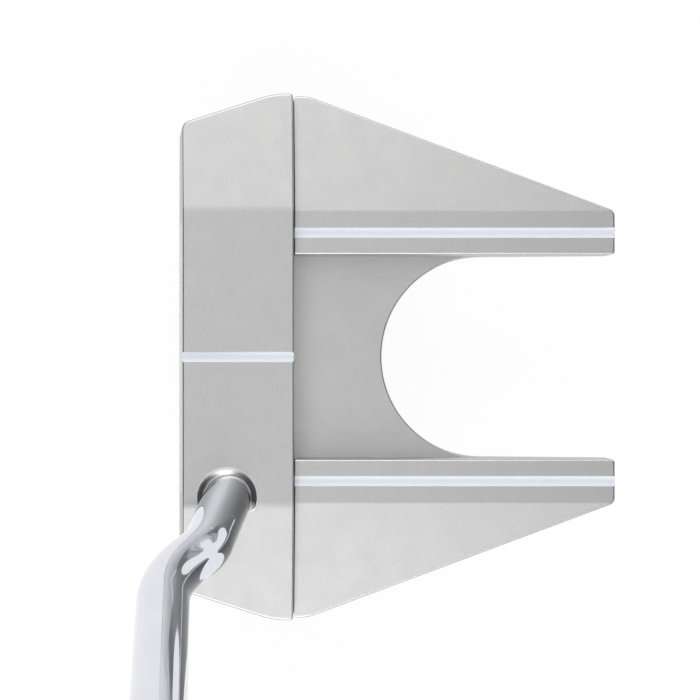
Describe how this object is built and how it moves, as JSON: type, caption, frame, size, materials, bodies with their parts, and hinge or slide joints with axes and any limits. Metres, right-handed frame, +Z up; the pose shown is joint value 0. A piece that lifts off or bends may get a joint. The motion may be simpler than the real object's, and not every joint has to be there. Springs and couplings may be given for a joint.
{
  "type": "mallet putter",
  "caption": "Golf putter with a fanged mallet head: raised face bar with a white insert, winged rear frame, painted sight lines, double-bend chrome shaft and rubber pistol grip.",
  "frame": {"origin": "on the flat sole, on the centre line, under the middle of the face bar", "axes": "+X runs back from the strike face towards the fang tips, +Y runs from heel to toe, +Z runs up from the sole; the putter stands at address with its shaft at the lie angle"},
  "size_m": [0.1007, 0.3824, 0.8131],
  "materials": {
    "head_metal": "satin bead-blasted",
    "insert_white": "smooth soft urethane",
    "line_white": "paint fill",
    "clear_bond": "cured adhesive",
    "steel_parts": "turned",
    "shaft_chrome": "polished",
    "plug_plastic": "moulded",
    "tape": "creped tape",
    "grip_rubber": "textured"
  },
  "bodies": {
    "putter": {"front_bar": "head_metal", "rear_frame": "head_metal", "face_insert": "insert_white", "insert_film": "clear_bond", "front_sight_line": "line_white", "toe_fang_line": "line_white", "heel_fang_line": "line_white", "frame_screws": "steel_parts", "shaft": "shaft_chrome", "shaft_bond": "clear_bond", "tip_plug": "plug_plastic", "grip_tape": "tape", "grip": "grip_rubber", "grip_cap": "grip_rubber"},
    "toe_weight": {"toe_weight": "steel_parts"},
    "heel_weight": {"heel_weight": "steel_parts"}
  },
  "joints": [
    {"name": "toe_weight_slide", "type": "slide", "parent": "putter", "child": "toe_weight", "axis": [0, 0, -1], "range_m": [0, 0.011]},
    {"name": "heel_weight_slide", "type": "slide", "parent": "putter", "child": "heel_weight", "axis": [0, 0, -1], "range_m": [0, 0.011]}
  ]
}
